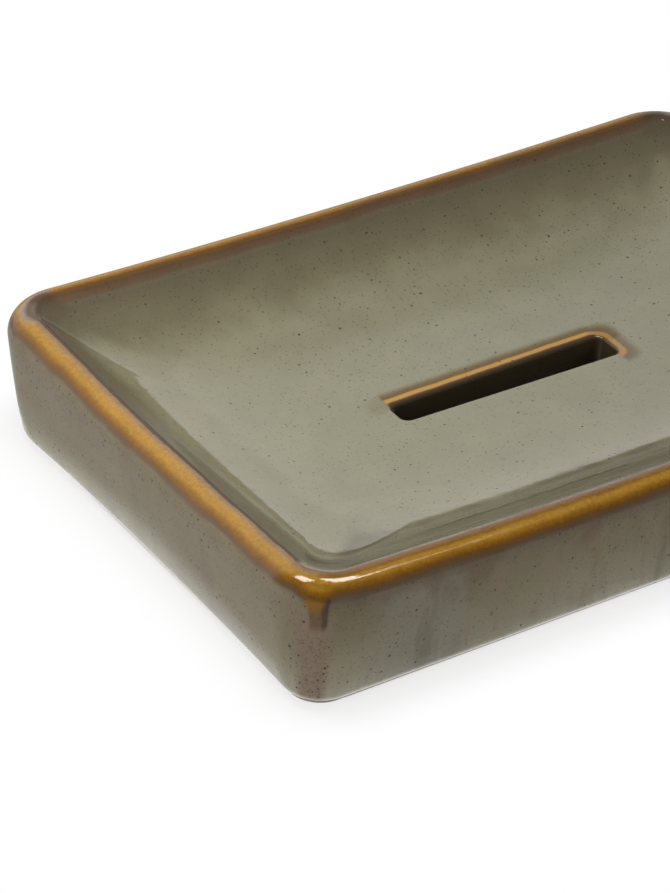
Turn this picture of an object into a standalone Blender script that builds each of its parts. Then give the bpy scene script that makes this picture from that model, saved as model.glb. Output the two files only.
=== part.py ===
"""Soap dish with a drain slot: one glazed stoneware body on four soft pads.

The body is one closed skin made of rings. Each ring is a rounded rectangle.
The rings climb from the foot up the outer wall, turn over the rim, run down
the basin to the drain slot, pass through it, and come back along the hollow
underside to the foot. Lengths are in metres, +Z is up, X is the long way,
-Y is the front, and the pads stand on Z = 0.
"""

import math

import bmesh
import bpy
from mathutils import Vector

MM = 0.001

# Outline of the body, taken at the rim
RIM_LENGTH = 130.0 * MM
RIM_WIDTH = 90.0 * MM
BODY_HEIGHT = 20.9 * MM
CORNER_RADIUS = 10.0 * MM

# Outer wall, and the bare foot below it
WALL_DRAFT = 1.2 * MM
BASE_ROUND = 2.0 * MM
FOOT_HEIGHT = 0.5 * MM

# Rim: rounded over on both sides
RIM_OUTER_ROUND = 3.7 * MM
RIM_INNER_ROUND = 2.2 * MM

# Shape taken in firing: sides sag and bow between the corners
RIM_SAG = 0.9 * MM
LONG_RIM_BOW = 0.3 * MM
SHORT_BASE_BOW = 0.8 * MM

# Basin and the floor under it
BASIN_DEPTH = 9.9 * MM
BASIN_CORNER_EASE = 8.0 * MM
FLOOR_THICKNESS = 4.5 * MM

# Drain slot: each side flares out by this much at the right end, and in at the left
SLOT_LENGTH = 39.2 * MM
SLOT_WIDTH = 4.7 * MM
SLOT_FLARE = 0.3 * MM
SLOT_CORNER_RADIUS = 1.2 * MM
SLOT_EDGE_ROUND = 0.7 * MM

# Hollow underside, measured in from the rim's outline
RECESS_INSET = 9.0 * MM
RECESS_DRAFT = 1.0 * MM
RECESS_ROUND = 3.0 * MM
RECESS_CORNER_RADIUS = 12.0 * MM

# Anti-slip pads in their sockets
PAD_DIAMETER = 7.0 * MM
PAD_THICKNESS = 1.2 * MM
PAD_EDGE_ROUND = 0.35 * MM
SOCKET_DEPTH = 1.0 * MM
SOCKET_SIDE_GAP = 0.3 * MM
SOCKET_SEAT_GAP = 0.3 * MM
CUT_OVERRUN = 1.0 * MM

# Angles, and shares without a unit
BASE_SWEEP = math.radians(75.0)
RIM_INNER_SWEEP = math.radians(38.0)
INNER_CORNER_SHARE = 0.25

# Powers: the basin's rings crowd towards the rim
RING_CROWDING_POWER = 1.4

# Counts of steps
CORNER_STEPS = 6
LONG_SIDE_STEPS = 8
SHORT_SIDE_STEPS = 6
WALL_STEPS = 3
ROUND_STEPS = 4
BASIN_STEPS = 9
SLOT_ROUND_STEPS = 3
UNDERSIDE_STEPS = 5
PAD_SEGMENTS = 24
PAD_ROUND_STEPS = 3

# Heights that follow from the sizes above
STAND_HEIGHT = PAD_THICKNESS + SOCKET_SEAT_GAP - SOCKET_DEPTH
CROWN_HEIGHT = STAND_HEIGHT + BODY_HEIGHT
SLOT_EDGE_HEIGHT = CROWN_HEIGHT - BASIN_DEPTH
FOOT_INSET = WALL_DRAFT + BASE_ROUND * (1.0 - math.cos(BASE_SWEEP))

# Where the rim's inner round hands over to the basin
BASIN_INSET = RIM_OUTER_ROUND + RIM_INNER_ROUND * math.sin(RIM_INNER_SWEEP)
BASIN_TOP_HEIGHT = CROWN_HEIGHT - RIM_INNER_ROUND * (1.0 - math.cos(RIM_INNER_SWEEP))
BASIN_FALL = BASIN_TOP_HEIGHT - SLOT_EDGE_HEIGHT
BASIN_REACH = RIM_WIDTH / 2.0 - BASIN_INSET - SLOT_WIDTH / 2.0 - SLOT_EDGE_ROUND
BASIN_POWER = math.tan(RIM_INNER_SWEEP) * BASIN_REACH / BASIN_FALL

GLAZE_COLOUR = (0.235, 0.215, 0.150, 1.0)
PAD_COLOUR = (0.62, 0.64, 0.62, 1.0)


def clear_scene():
    """Remove whatever the scene holds."""
    for scene_object in list(bpy.data.objects):
        bpy.data.objects.remove(scene_object, do_unlink=True)


def make_material(name, colour, roughness):
    """Return a Principled material with the given colour and roughness."""
    material = bpy.data.materials.new(name)
    material.use_nodes = True
    shader = material.node_tree.nodes["Principled BSDF"]
    shader.inputs["Base Color"].default_value = colour
    shader.inputs["Roughness"].default_value = roughness
    shader.inputs["Metallic"].default_value = 0.0
    return material


def blend(start, end, share):
    """Return the value a share of the way from start to end."""
    return start + (end - start) * share


def shares(count):
    """Return count + 1 even shares from 0 to 1."""
    return [step / count for step in range(count + 1)]


def ring(half_x, half_y, radius, height, sag=0.0, long_bow=0.0, short_bow=0.0, flare=0.0):
    """Return a rounded rectangle's points, anticlockwise from the right end.

    Between the corners the sides sag down, and bow outwards, by the given
    amounts at their middles. The flare widens the right end and narrows the
    left one.
    """
    points = []
    flat_x = half_x - radius
    flat_y = half_y - radius
    for quarter, (side_x, side_y) in enumerate(((1, 1), (-1, 1), (-1, -1), (1, -1))):
        for share in shares(CORNER_STEPS):
            angle = (quarter + share) * math.pi / 2.0
            points.append(
                Vector((
                    side_x * flat_x + radius * math.cos(angle),
                    side_y * flat_y + radius * math.sin(angle),
                    height,
                ))
            )
        runs_long = quarter % 2 == 0
        side_steps = LONG_SIDE_STEPS if runs_long else SHORT_SIDE_STEPS
        for share in shares(side_steps)[1:-1]:
            along = 1.0 - 2.0 * share
            belly = 1.0 - along**2
            if runs_long:
                x = side_x * flat_x * along
                y = side_y * (half_y + long_bow * belly)
            else:
                x = side_x * (half_x + short_bow * belly)
                y = side_y * flat_y * along
            points.append(Vector((x, y, height - sag * belly)))
    for point in points:
        point.y *= 1.0 + flare / half_y * point.x / half_x
    return points


def set_in_radius(radius, inset):
    """Return a corner's radius where its outline is set in, never less than a share of it."""
    return max(radius - inset, radius * INNER_CORNER_SHARE)


def climb_share(height):
    """Return how far a height lies up the body, 0 at the foot and 1 at the crown."""
    return (height - STAND_HEIGHT) / BODY_HEIGHT


def outer_ring(inset, height):
    """Return a ring of the outer wall or rim, set in from the rim's outline."""
    return ring(
        RIM_LENGTH / 2.0 - inset,
        RIM_WIDTH / 2.0 - inset,
        set_in_radius(CORNER_RADIUS, inset),
        height,
        RIM_SAG * climb_share(height),
        LONG_RIM_BOW * climb_share(height),
        -SHORT_BASE_BOW * (1.0 - climb_share(height)),
    )


def wall_and_rim_rings():
    """Return the rings from the foot's outer edge over the rim to the basin."""
    rings = [outer_ring(FOOT_INSET, STAND_HEIGHT)]
    round_height = STAND_HEIGHT + FOOT_HEIGHT + BASE_ROUND * math.sin(BASE_SWEEP)
    for share in shares(ROUND_STEPS):
        angle = BASE_SWEEP * (1.0 - share)
        inset = WALL_DRAFT + BASE_ROUND * (1.0 - math.cos(angle))
        rings.append(outer_ring(inset, round_height - BASE_ROUND * math.sin(angle)))
    wall_top = CROWN_HEIGHT - RIM_OUTER_ROUND
    for share in shares(WALL_STEPS)[1:-1]:
        rings.append(outer_ring(WALL_DRAFT * (1.0 - share), blend(round_height, wall_top, share)))
    for share in shares(ROUND_STEPS):
        angle = share * math.pi / 2.0
        inset = RIM_OUTER_ROUND * (1.0 - math.cos(angle))
        rings.append(outer_ring(inset, wall_top + RIM_OUTER_ROUND * math.sin(angle)))
    for share in shares(ROUND_STEPS)[1:]:
        angle = share * RIM_INNER_SWEEP
        inset = RIM_OUTER_ROUND + RIM_INNER_ROUND * math.sin(angle)
        drop = RIM_INNER_ROUND * (1.0 - math.cos(angle))
        rings.append(outer_ring(inset, CROWN_HEIGHT - drop))
    return rings


def basin_rise_share(run_share):
    """Return the share of the basin's fall still left, a share of the way in from the rim."""
    return (1.0 - run_share) ** BASIN_POWER


def basin_height(run_share):
    """Return the basin's height a share of the way from the rim to the slot."""
    return SLOT_EDGE_HEIGHT + BASIN_FALL * basin_rise_share(run_share)


def basin_rings():
    """Return the rings that fall from the rim to the drain slot's edge."""
    rings = []
    rim_radius = set_in_radius(CORNER_RADIUS, BASIN_INSET)
    for step_share in shares(BASIN_STEPS)[1:]:
        run_share = step_share**RING_CROWDING_POWER
        rise_share = basin_rise_share(run_share)
        corner_ease = BASIN_CORNER_EASE * 4.0 * run_share * (1.0 - run_share)
        rings.append(
            ring(
                blend(RIM_LENGTH / 2.0 - BASIN_INSET, SLOT_LENGTH / 2.0 + SLOT_EDGE_ROUND, run_share),
                blend(RIM_WIDTH / 2.0 - BASIN_INSET, SLOT_WIDTH / 2.0 + SLOT_EDGE_ROUND, run_share),
                blend(rim_radius, SLOT_CORNER_RADIUS + SLOT_EDGE_ROUND, run_share) + corner_ease,
                basin_height(run_share),
                RIM_SAG * climb_share(BASIN_TOP_HEIGHT) * rise_share,
                LONG_RIM_BOW * climb_share(BASIN_TOP_HEIGHT) * rise_share,
                flare=SLOT_FLARE * run_share,
            )
        )
    return rings


def slot_rings():
    """Return the rings that round over the slot's edge and pass through the floor."""
    rings = []
    for share in shares(SLOT_ROUND_STEPS)[1:]:
        angle = share * math.pi / 2.0
        grow = SLOT_EDGE_ROUND * (1.0 - math.sin(angle))
        rings.append(
            ring(
                SLOT_LENGTH / 2.0 + grow,
                SLOT_WIDTH / 2.0 + grow,
                SLOT_CORNER_RADIUS + grow,
                SLOT_EDGE_HEIGHT - SLOT_EDGE_ROUND * (1.0 - math.cos(angle)),
                flare=SLOT_FLARE,
            )
        )
    rings.append(
        ring(
            SLOT_LENGTH / 2.0,
            SLOT_WIDTH / 2.0,
            SLOT_CORNER_RADIUS,
            SLOT_EDGE_HEIGHT - FLOOR_THICKNESS,
            flare=SLOT_FLARE,
        )
    )
    return rings


def underside_rings():
    """Return the rings of the hollow underside, from the slot out to the foot."""
    rings = []
    roof_inset = RECESS_INSET + RECESS_DRAFT + RECESS_ROUND
    roof_run_share = (roof_inset - BASIN_INSET) / BASIN_REACH
    roof_radius = set_in_radius(RECESS_CORNER_RADIUS, RECESS_ROUND)
    for share in shares(UNDERSIDE_STEPS)[1:]:
        rings.append(
            ring(
                blend(SLOT_LENGTH / 2.0, RIM_LENGTH / 2.0 - roof_inset, share),
                blend(SLOT_WIDTH / 2.0, RIM_WIDTH / 2.0 - roof_inset, share),
                blend(SLOT_CORNER_RADIUS, roof_radius, share),
                basin_height(blend(1.0, roof_run_share, share)) - FLOOR_THICKNESS,
                flare=SLOT_FLARE * (1.0 - share),
            )
        )
    roof_height = basin_height(roof_run_share) - FLOOR_THICKNESS
    for share in shares(ROUND_STEPS)[1:]:
        angle = share * math.pi / 2.0
        rings.append(
            ring(
                RIM_LENGTH / 2.0 - roof_inset + RECESS_ROUND * math.sin(angle),
                RIM_WIDTH / 2.0 - roof_inset + RECESS_ROUND * math.sin(angle),
                roof_radius + RECESS_ROUND * math.sin(angle),
                roof_height - RECESS_ROUND * (1.0 - math.cos(angle)),
            )
        )
    rings.append(
        ring(
            RIM_LENGTH / 2.0 - RECESS_INSET,
            RIM_WIDTH / 2.0 - RECESS_INSET,
            RECESS_CORNER_RADIUS + RECESS_DRAFT,
            STAND_HEIGHT,
        )
    )
    return rings


def skin_from_rings(name, rings):
    """Return a mesh whose quads join each ring to the next, and the last to the first."""
    shell = bmesh.new()
    loops = [[shell.verts.new(point) for point in points] for points in rings]
    for lower, upper in zip(loops, loops[1:] + loops[:1]):
        for here in range(len(lower)):
            after = (here + 1) % len(lower)
            shell.faces.new((lower[here], lower[after], upper[after], upper[here]))
    bmesh.ops.recalc_face_normals(shell, faces=shell.faces)
    mesh = bpy.data.meshes.new(name)
    shell.to_mesh(mesh)
    shell.free()
    return mesh


def add_object(name, mesh, material, location=(0.0, 0.0, 0.0)):
    """Put a mesh into the scene under a name, smooth where it is round."""
    mesh.materials.clear()
    mesh.materials.append(material)
    mesh.shade_smooth()
    mesh.set_sharp_from_angle(angle=math.radians(35.0))
    scene_object = bpy.data.objects.new(name, mesh)
    scene_object.location = location
    bpy.context.scene.collection.objects.link(scene_object)
    return scene_object


def pad_places():
    """Return each pad's name and its place, midway across the foot's corner."""
    corner_reach = 1.0 - math.sqrt(0.5)
    foot_radius = set_in_radius(CORNER_RADIUS, FOOT_INSET)
    outer_inset = FOOT_INSET + foot_radius * corner_reach
    inner_inset = RECESS_INSET + (RECESS_CORNER_RADIUS + RECESS_DRAFT) * corner_reach
    pad_inset = (outer_inset + inner_inset) / 2.0
    x = RIM_LENGTH / 2.0 - pad_inset
    y = RIM_WIDTH / 2.0 - pad_inset
    return {
        "front_left_pad": (-x, -y),
        "front_right_pad": (x, -y),
        "back_left_pad": (-x, y),
        "back_right_pad": (x, y),
    }


def make_disc(name, radius, bottom, top, bottom_round=0.0):
    """Return an upright round plug's mesh, its lower edge rounded if asked."""
    profile = [Vector((0.0, 0.0, bottom)), Vector((radius - bottom_round, 0.0, bottom))]
    if bottom_round > 0.0:
        for share in shares(PAD_ROUND_STEPS)[1:]:
            angle = share * math.pi / 2.0
            x = radius - bottom_round * (1.0 - math.sin(angle))
            profile.append(Vector((x, 0.0, bottom + bottom_round * (1.0 - math.cos(angle)))))
    profile.append(Vector((radius, 0.0, top)))
    profile.append(Vector((0.0, 0.0, top)))
    plug = bmesh.new()
    verts = [plug.verts.new(point) for point in profile]
    edges = [plug.edges.new(pair) for pair in zip(verts, verts[1:])]
    bmesh.ops.spin(
        plug,
        geom=verts + edges,
        axis=(0.0, 0.0, 1.0),
        cent=(0.0, 0.0, 0.0),
        angle=math.tau,
        steps=PAD_SEGMENTS,
    )
    bmesh.ops.remove_doubles(plug, verts=plug.verts, dist=radius / 1000.0)
    bmesh.ops.recalc_face_normals(plug, faces=plug.faces)
    mesh = bpy.data.meshes.new(name)
    plug.to_mesh(mesh)
    plug.free()
    return mesh


def cut_sockets(body):
    """Cut the pads' round sockets into the foot's corners."""
    radius = PAD_DIAMETER / 2.0 + SOCKET_SIDE_GAP
    for pad_name, (x, y) in pad_places().items():
        cutter_name = pad_name.replace("pad", "socket_cutter")
        mesh = make_disc(cutter_name, radius, STAND_HEIGHT - CUT_OVERRUN, STAND_HEIGHT + SOCKET_DEPTH)
        cutter = bpy.data.objects.new(cutter_name, mesh)
        cutter.location = (x, y, 0.0)
        cutter.hide_render = True
        cutter.display_type = "WIRE"
        bpy.context.scene.collection.objects.link(cutter)
        socket = body.modifiers.new(cutter_name, "BOOLEAN")
        socket.operation = "DIFFERENCE"
        socket.solver = "EXACT"
        socket.object = cutter


def build_body():
    """Build the glazed stoneware body."""
    rings = wall_and_rim_rings() + basin_rings() + slot_rings() + underside_rings()
    glaze = make_material("sage_glaze", GLAZE_COLOUR, 0.12)
    body = add_object("dish_body", skin_from_rings("dish_body", rings), glaze)
    cut_sockets(body)


def build_pads():
    """Build the four pads, which share one mesh."""
    clear_rubber = make_material("clear_rubber", PAD_COLOUR, 0.4)
    mesh = make_disc("pad", PAD_DIAMETER / 2.0, 0.0, PAD_THICKNESS, PAD_EDGE_ROUND)
    for pad_name, (x, y) in pad_places().items():
        add_object(pad_name, mesh, clear_rubber, (x, y, 0.0))


def main():
    """Build the whole soap dish."""
    clear_scene()
    build_body()
    build_pads()


main()
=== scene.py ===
"""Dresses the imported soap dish: a reactive-glazed stoneware body on four clear pads.

The body's skin is swept in Geometry Nodes. Python writes two small guides: the
section, with one vertex for each ring of the skin, and the plan, with one
vertex for each step round a rounded rectangle. The tree lays the plan out at
every ring's size. Lengths are in metres, +Z is up, X is the long way and -Y is
the front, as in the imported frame.
"""

from __future__ import annotations

import logging
import math
from collections.abc import Iterable, Sequence
from dataclasses import dataclass, field
from enum import Enum
from functools import reduce

import bpy
from mathutils import Matrix, Vector

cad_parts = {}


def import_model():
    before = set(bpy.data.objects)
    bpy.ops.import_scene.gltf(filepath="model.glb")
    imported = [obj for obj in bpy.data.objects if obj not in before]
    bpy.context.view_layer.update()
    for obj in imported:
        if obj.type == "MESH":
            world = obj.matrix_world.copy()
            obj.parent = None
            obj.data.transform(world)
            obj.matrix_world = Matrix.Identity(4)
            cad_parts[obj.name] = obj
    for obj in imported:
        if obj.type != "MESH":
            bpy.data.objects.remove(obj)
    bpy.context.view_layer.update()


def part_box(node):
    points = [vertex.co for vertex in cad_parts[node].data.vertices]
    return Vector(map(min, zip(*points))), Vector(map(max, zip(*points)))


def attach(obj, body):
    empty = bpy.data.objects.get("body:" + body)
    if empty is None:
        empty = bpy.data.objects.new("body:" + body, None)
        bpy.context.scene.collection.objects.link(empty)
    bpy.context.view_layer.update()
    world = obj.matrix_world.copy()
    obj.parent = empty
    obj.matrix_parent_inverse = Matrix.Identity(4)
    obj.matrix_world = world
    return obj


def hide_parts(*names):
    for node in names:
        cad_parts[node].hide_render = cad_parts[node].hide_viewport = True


LOG = logging.getLogger("soap_dish")

MM = 0.001
ROOT_BODY = "root"
BODY_NODE = "dish_body"
PAD_NODES = ("front_left_pad", "front_right_pad", "back_left_pad", "back_right_pad")

Colour = tuple[float, float, float]
Span = tuple[float, float]
Socket = bpy.types.NodeSocket


def even_shares(count: int) -> list[float]:
    """Return count + 1 even shares from 0 to 1."""
    return [step / count for step in range(count + 1)]


def mix(start: float, end: float, share: float) -> float:
    """Return the value a share of the way from start to end."""
    return start + (end - start) * share


def arc(radius: float, start: float, end: float, steps: int) -> list[Span]:
    """Return even steps along an arc.

    Args:
        radius: The arc's radius.
        start: The angle that it starts from, counted from its top.
        end: The angle that it ends at.
        steps: The count of steps.

    Returns:
        For each step, how far it lies along from the arc's top, and how far below it.
    """
    angles = [mix(start, end, share) for share in even_shares(steps)]
    return [(radius * math.sin(angle), radius * (1.0 - math.cos(angle))) for angle in angles]


def linear(red: int, green: int, blue: int) -> Colour:
    """Return a colour written as it is seen, 0 to 255 a channel, in linear light."""
    seen = (channel / 255.0 for channel in (red, green, blue))
    return tuple(c / 12.92 if c <= 0.04045 else ((c + 0.055) / 1.055) ** 2.4 for c in seen)


@dataclass(frozen=True)
class Blotches:
    """An uneven pattern: noise, cut by a smooth step.

    Attributes:
        size: About how large a blotch is, in millimetres.
        detail: How many finer noises lie over the first.
        roughness: How strong they are.
        cut: The noise values where the step starts and ends.
        into: The results there.
    """

    size: float
    detail: float
    roughness: float
    cut: Span
    into: Span = (0.0, 1.0)


class NodeBench:
    """Adds nodes to one shader, world or geometry tree and links them."""

    def __init__(self, tree: bpy.types.NodeTree) -> None:
        """Work on a tree.

        Args:
            tree: The tree that gets the nodes.
        """
        self.tree = tree

    def feed(self, socket: Socket, value: object) -> None:
        """Link another node's socket into a socket, or set the socket to a value."""
        if isinstance(value, Socket):
            self.tree.links.new(value, socket)
        else:
            socket.default_value = value

    def add(self, kind: str, inputs: dict[str | int, object] | None = None, **settings: object) -> bpy.types.Node:
        """Add a node.

        Args:
            kind: The node's type name.
            inputs: A value or another node's socket for each named or numbered input.
            settings: Properties to set before the inputs are fed.

        Returns:
            The new node.
        """
        node = self.tree.nodes.new(kind)
        for name, value in settings.items():
            setattr(node, name, value)
        for name, value in (inputs or {}).items():
            self.feed(node.inputs[name], value)
        return node

    def out(self, kind: str, inputs: dict[str | int, object] | None = None, **settings: object) -> Socket:
        """Return the first output of a node that is added like this."""
        return self.add(kind, inputs, **settings).outputs[0]

    def math(self, operation: str, *terms: object) -> Socket:
        """Return the result of a Math node fed with the terms."""
        return self.out("ShaderNodeMath", dict(enumerate(terms)), operation=operation)

    def times(self, *terms: object) -> Socket:
        """Return the product of the terms."""
        return reduce(lambda product, term: self.math("MULTIPLY", product, term), terms)

    def plus(self, *terms: object) -> Socket:
        """Return the sum of the terms."""
        return reduce(lambda total, term: self.math("ADD", total, term), terms)

    def minus(self, term: object, less: object) -> Socket:
        """Return a term less another."""
        return self.math("SUBTRACT", term, less)

    def most(self, *terms: object) -> Socket:
        """Return the largest of the terms."""
        return reduce(lambda largest, term: self.math("MAXIMUM", largest, term), terms)

    def vector(self, operation: str, *terms: object) -> Socket:
        """Return the vector result of a Vector Math node fed with the terms."""
        return self.out("ShaderNodeVectorMath", dict(enumerate(terms)), operation=operation)

    def measure(self, operation: str, *terms: object) -> Socket:
        """Return the number that a Vector Math node fed with the terms gives."""
        return self.add("ShaderNodeVectorMath", dict(enumerate(terms)), operation=operation).outputs["Value"]

    def combine(self, x: object = 0.0, y: object = 0.0, z: object = 0.0) -> Socket:
        """Return a vector made of three values."""
        return self.out("ShaderNodeCombineXYZ", {0: x, 1: y, 2: z})

    def separate(self, vector: object) -> bpy.types.NodeOutputs:
        """Return the X, Y and Z sockets of a vector."""
        return self.add("ShaderNodeSeparateXYZ", {0: vector}).outputs

    def step(self, value: object, low: float, high: float, into: Span = (0.0, 1.0)) -> Socket:
        """Return a smooth step of a value.

        Args:
            value: The value to read.
            low: Where the step starts.
            high: Where it ends, which may be below its start.
            into: The results at low and at high.

        Returns:
            The socket that holds the step.
        """
        inputs = {"Value": value, "From Min": low, "From Max": high, "To Min": into[0], "To Max": into[1]}
        return self.out("ShaderNodeMapRange", inputs, interpolation_type="SMOOTHSTEP")

    def band(self, value: object, rise: Span, fall: Span) -> Socket:
        """Return 1 between two steps of a value, else 0, with the ends of each step from outside in."""
        return self.times(self.step(value, *rise), self.step(value, *fall))

    def noise(self, vector: object, size: float, detail: float = 2.0, roughness: float = 0.5) -> Socket:
        """Return a noise value around one half, with features of about the given size."""
        inputs = {"Vector": vector, "Scale": 1.0 / size, "Detail": detail, "Roughness": roughness}
        return self.out("ShaderNodeTexNoise", inputs, noise_dimensions="3D")

    def sway(self, vector: object, size: float, detail: float = 2.0, roughness: float = 0.5) -> Socket:
        """Return a noise value around zero, with features of about the given size."""
        return self.minus(self.noise(vector, size, detail, roughness), 0.5)

    def blotched(self, vector: object, blotches: Blotches) -> Socket:
        """Return an uneven pattern's value."""
        noise = self.noise(vector, blotches.size * MM, blotches.detail, blotches.roughness)
        return self.step(noise, *blotches.cut, blotches.into)

    def tint(self, share: object, under: object, over: object, blend: str = "MIX") -> Socket:
        """Return two colours mixed by a share, where each may be a colour or a socket."""
        under, over = (c if isinstance(c, Socket) else (*c, 1.0) for c in (under, over))
        inputs = {0: share, 6: under, 7: over}
        return self.add("ShaderNodeMix", inputs, data_type="RGBA", blend_type=blend).outputs[2]

    def attribute(self, name: str) -> Socket:
        """Return a float attribute of the surface."""
        return self.add("ShaderNodeAttribute", attribute_name=name).outputs["Fac"]


class SkinMark(Enum):
    """Float attributes that the swept skin carries for its finish."""

    RIM_REACH = "rim_reach"
    SLOT_REACH = "slot_reach"
    CORNER_REACH = "corner_reach"
    BARE = "bare"


class SkinBench(NodeBench):
    """A bench for a finish on the swept skin, which knows its places.

    Attributes:
        place: The place on the object in metres. All that follows is in millimetres.
        x: Its X.
        y: Its Y.
        reach: Its distance from the rim's crown along the section, above zero inwards.
        slot: Its distance from the slot's edge along the section, below zero outside.
        corner: Its distance from the nearest corner's middle, round the outline.
    """

    def __init__(self, tree: bpy.types.NodeTree) -> None:
        """Work on a tree.

        Args:
            tree: The material's tree.
        """
        super().__init__(tree)
        self.place = self.add("ShaderNodeTexCoord").outputs["Object"]
        at = self.separate(self.place)
        marks = (SkinMark.RIM_REACH, SkinMark.SLOT_REACH, SkinMark.CORNER_REACH)
        lengths = (at["X"], at["Y"], *(self.attribute(mark.value) for mark in marks))
        self.x, self.y, self.reach, self.slot, self.corner = (self.math("DIVIDE", n, MM) for n in lengths)


@dataclass(frozen=True)
class Ring:
    """One ring of a swept skin.

    Attributes:
        half_x: Half of the ring's length.
        half_y: Half of its width.
        height: Its height above the floor.
        radius: Its corners' radius.
        lean: How much rounder its back corners are than that, and how much tighter its front ones.
        climb_share: How much of the rim's sag and bow it takes.
        base_share: How much of the foot's inward bow it takes.
        flare_share: How much of the slot's flare it takes.
        bare: 1 where the clay is unglazed, else 0.
    """

    half_x: float
    half_y: float
    height: float
    radius: float
    lean: float = 0.0
    climb_share: float = 0.0
    base_share: float = 0.0
    flare_share: float = 0.0
    bare: float = 0.0


class ToolTree:
    """A Geometry Nodes tree with named inputs, run on an object and then taken off it.

    Attributes:
        SOURCE: The name of the input that the object's own geometry comes in by.
        KINDS: The kind of each other input.
    """

    SOURCE: str
    KINDS: dict[str, str]

    def __init__(self, name: str) -> None:
        """Build the tree.

        Args:
            name: The tree's name.
        """
        self.tree = bpy.data.node_groups.new(name, "GeometryNodeTree")
        self.bench = NodeBench(self.tree)
        interface = self.tree.interface
        interface.new_socket(self.SOURCE, in_out="INPUT", socket_type="NodeSocketGeometry")
        self.sockets = {
            label: interface.new_socket(label, in_out="INPUT", socket_type=f"NodeSocket{kind}").identifier
            for label, kind in self.KINDS.items()
        }
        interface.new_socket("Skin", in_out="OUTPUT", socket_type="NodeSocketGeometry")
        given = self.bench.add("NodeGroupInput").outputs
        skin = self.bench.out("GeometryNodeRealizeInstances", {0: self._built(given)})
        skin = self.bench.out("GeometryNodeSetMaterial", {"Geometry": skin, "Material": given["Finish"]})
        self.bench.add("NodeGroupOutput", {0: skin})

    def _built(self, given: bpy.types.NodeOutputs) -> Socket:
        """Lay out the tree's own nodes and return the skin that they make."""
        raise NotImplementedError

    def _stored(self, skin: object, mark: SkinMark, value: object, where: object = True) -> Socket:
        """Return a skin with a mark stored on its vertices."""
        inputs = {"Geometry": skin, "Selection": where, "Name": mark.value, "Value": value}
        return self.bench.out("GeometryNodeStoreNamedAttribute", inputs, data_type="FLOAT")

    def run(self, source: bpy.types.Object, name: str, values: dict[str, object]) -> bpy.types.Object:
        """Run the tree on an object, and return the result as a plain mesh object.

        Args:
            source: The object, which loses the tree again.
            name: The new object's name.
            values: A value for each named input.

        Returns:
            The new object, at the origin, unturned and unscaled.
        """
        modifier = source.modifiers.new(self.tree.name, "NODES")
        modifier.node_group = self.tree
        for label, value in values.items():
            modifier[self.sockets[label]] = value
        graph = bpy.context.evaluated_depsgraph_get()
        graph.update()
        mesh = bpy.data.meshes.new_from_object(source.evaluated_get(graph))
        source.modifiers.remove(modifier)
        return placed(name, mesh)


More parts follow.
